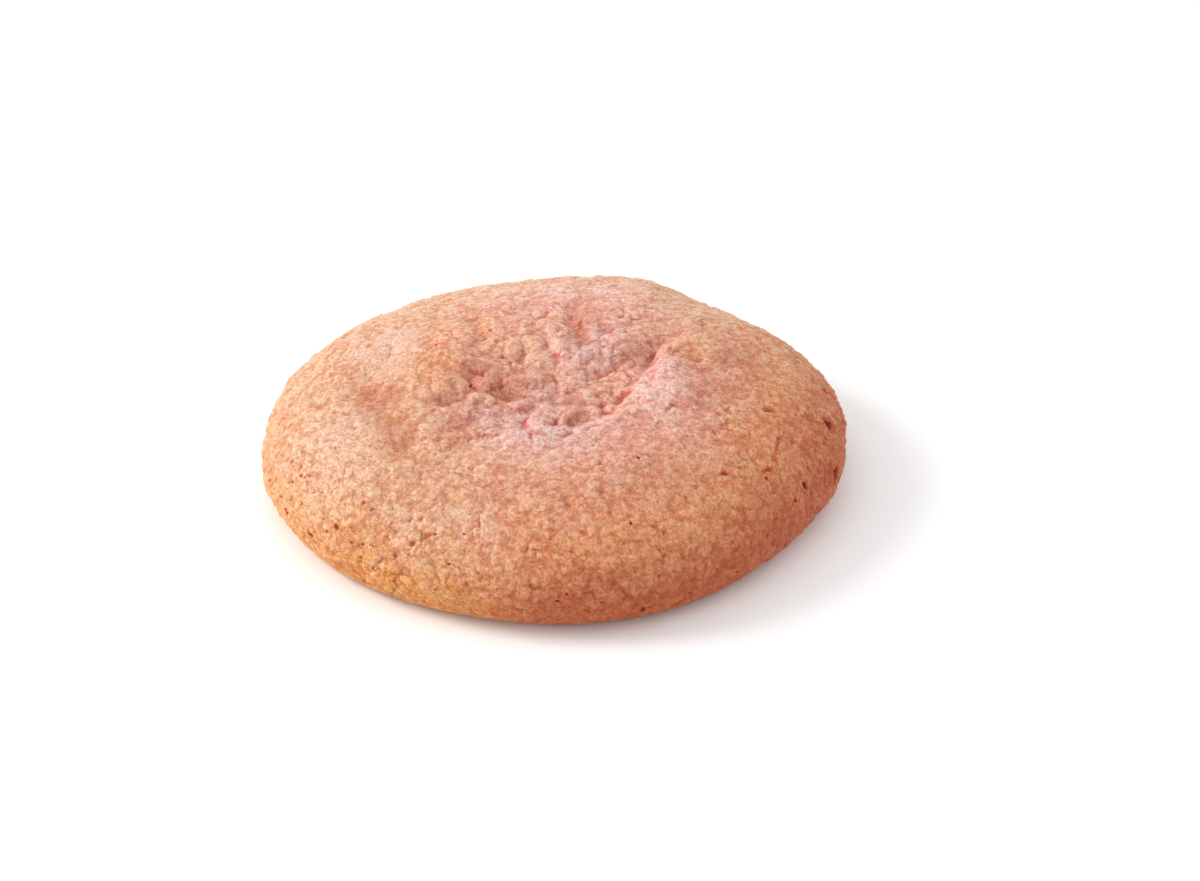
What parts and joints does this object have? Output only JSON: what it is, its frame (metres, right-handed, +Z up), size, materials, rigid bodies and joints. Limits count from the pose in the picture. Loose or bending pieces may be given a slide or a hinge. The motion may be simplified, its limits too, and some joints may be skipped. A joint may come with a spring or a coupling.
{
  "type": "sweet potato cookie",
  "caption": "Soft round cookie: a low mound with a flat base, a bulging side, a crusted skin and a sunken, crumbly middle with a long crack.",
  "frame": {"origin": "middle of the cookie's outline, on the flat base it rests on", "axes": "+Z up out of the base, -Y towards the side seen in front in the picture, +X to the right"},
  "size_m": [0.0684, 0.0654, 0.0171],
  "materials": {
    "crust": "matte baked crust, peach and pink, browner round the edge"
  },
  "bodies": {
    "root": {"cookie": "crust"}
  },
  "joints": []
}
